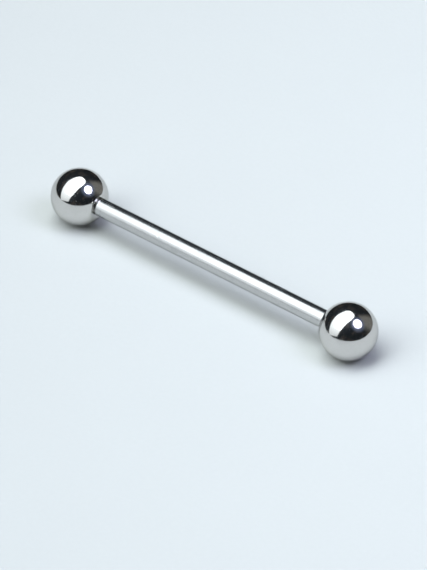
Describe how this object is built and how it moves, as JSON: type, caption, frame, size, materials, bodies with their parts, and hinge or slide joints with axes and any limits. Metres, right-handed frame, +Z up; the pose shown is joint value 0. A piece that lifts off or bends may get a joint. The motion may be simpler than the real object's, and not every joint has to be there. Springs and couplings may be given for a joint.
{
  "type": "tongue barbell",
  "caption": "Straight round barbell, with a plain polished ball screwed onto each threaded end, that is worn through a piercing.",
  "frame": {"origin": "on the surface that the barbell lies on, midway between the balls", "axes": "+X along the shaft towards the ball at the right of the picture, +Z up"},
  "size_m": [0.0346, 0.005, 0.005],
  "materials": {
    "shaft_steel": "solid stainless steel, polished to a mirror, with faint lengthwise drawing lines",
    "ball_steel": "solid stainless steel, polished to a mirror"
  },
  "bodies": {
    "shaft": {"shaft": "shaft_steel"},
    "left_ball": {"left_ball": "ball_steel"},
    "right_ball": {"right_ball": "ball_steel"}
  },
  "joints": [
    {"name": "left_ball_unscrew", "type": "slide", "parent": "shaft", "child": "left_ball", "axis": [-1, 0, 0], "range_m": [0, 0.004]},
    {"name": "right_ball_unscrew", "type": "slide", "parent": "shaft", "child": "right_ball", "axis": [1, 0, 0], "range_m": [0, 0.004]}
  ]
}
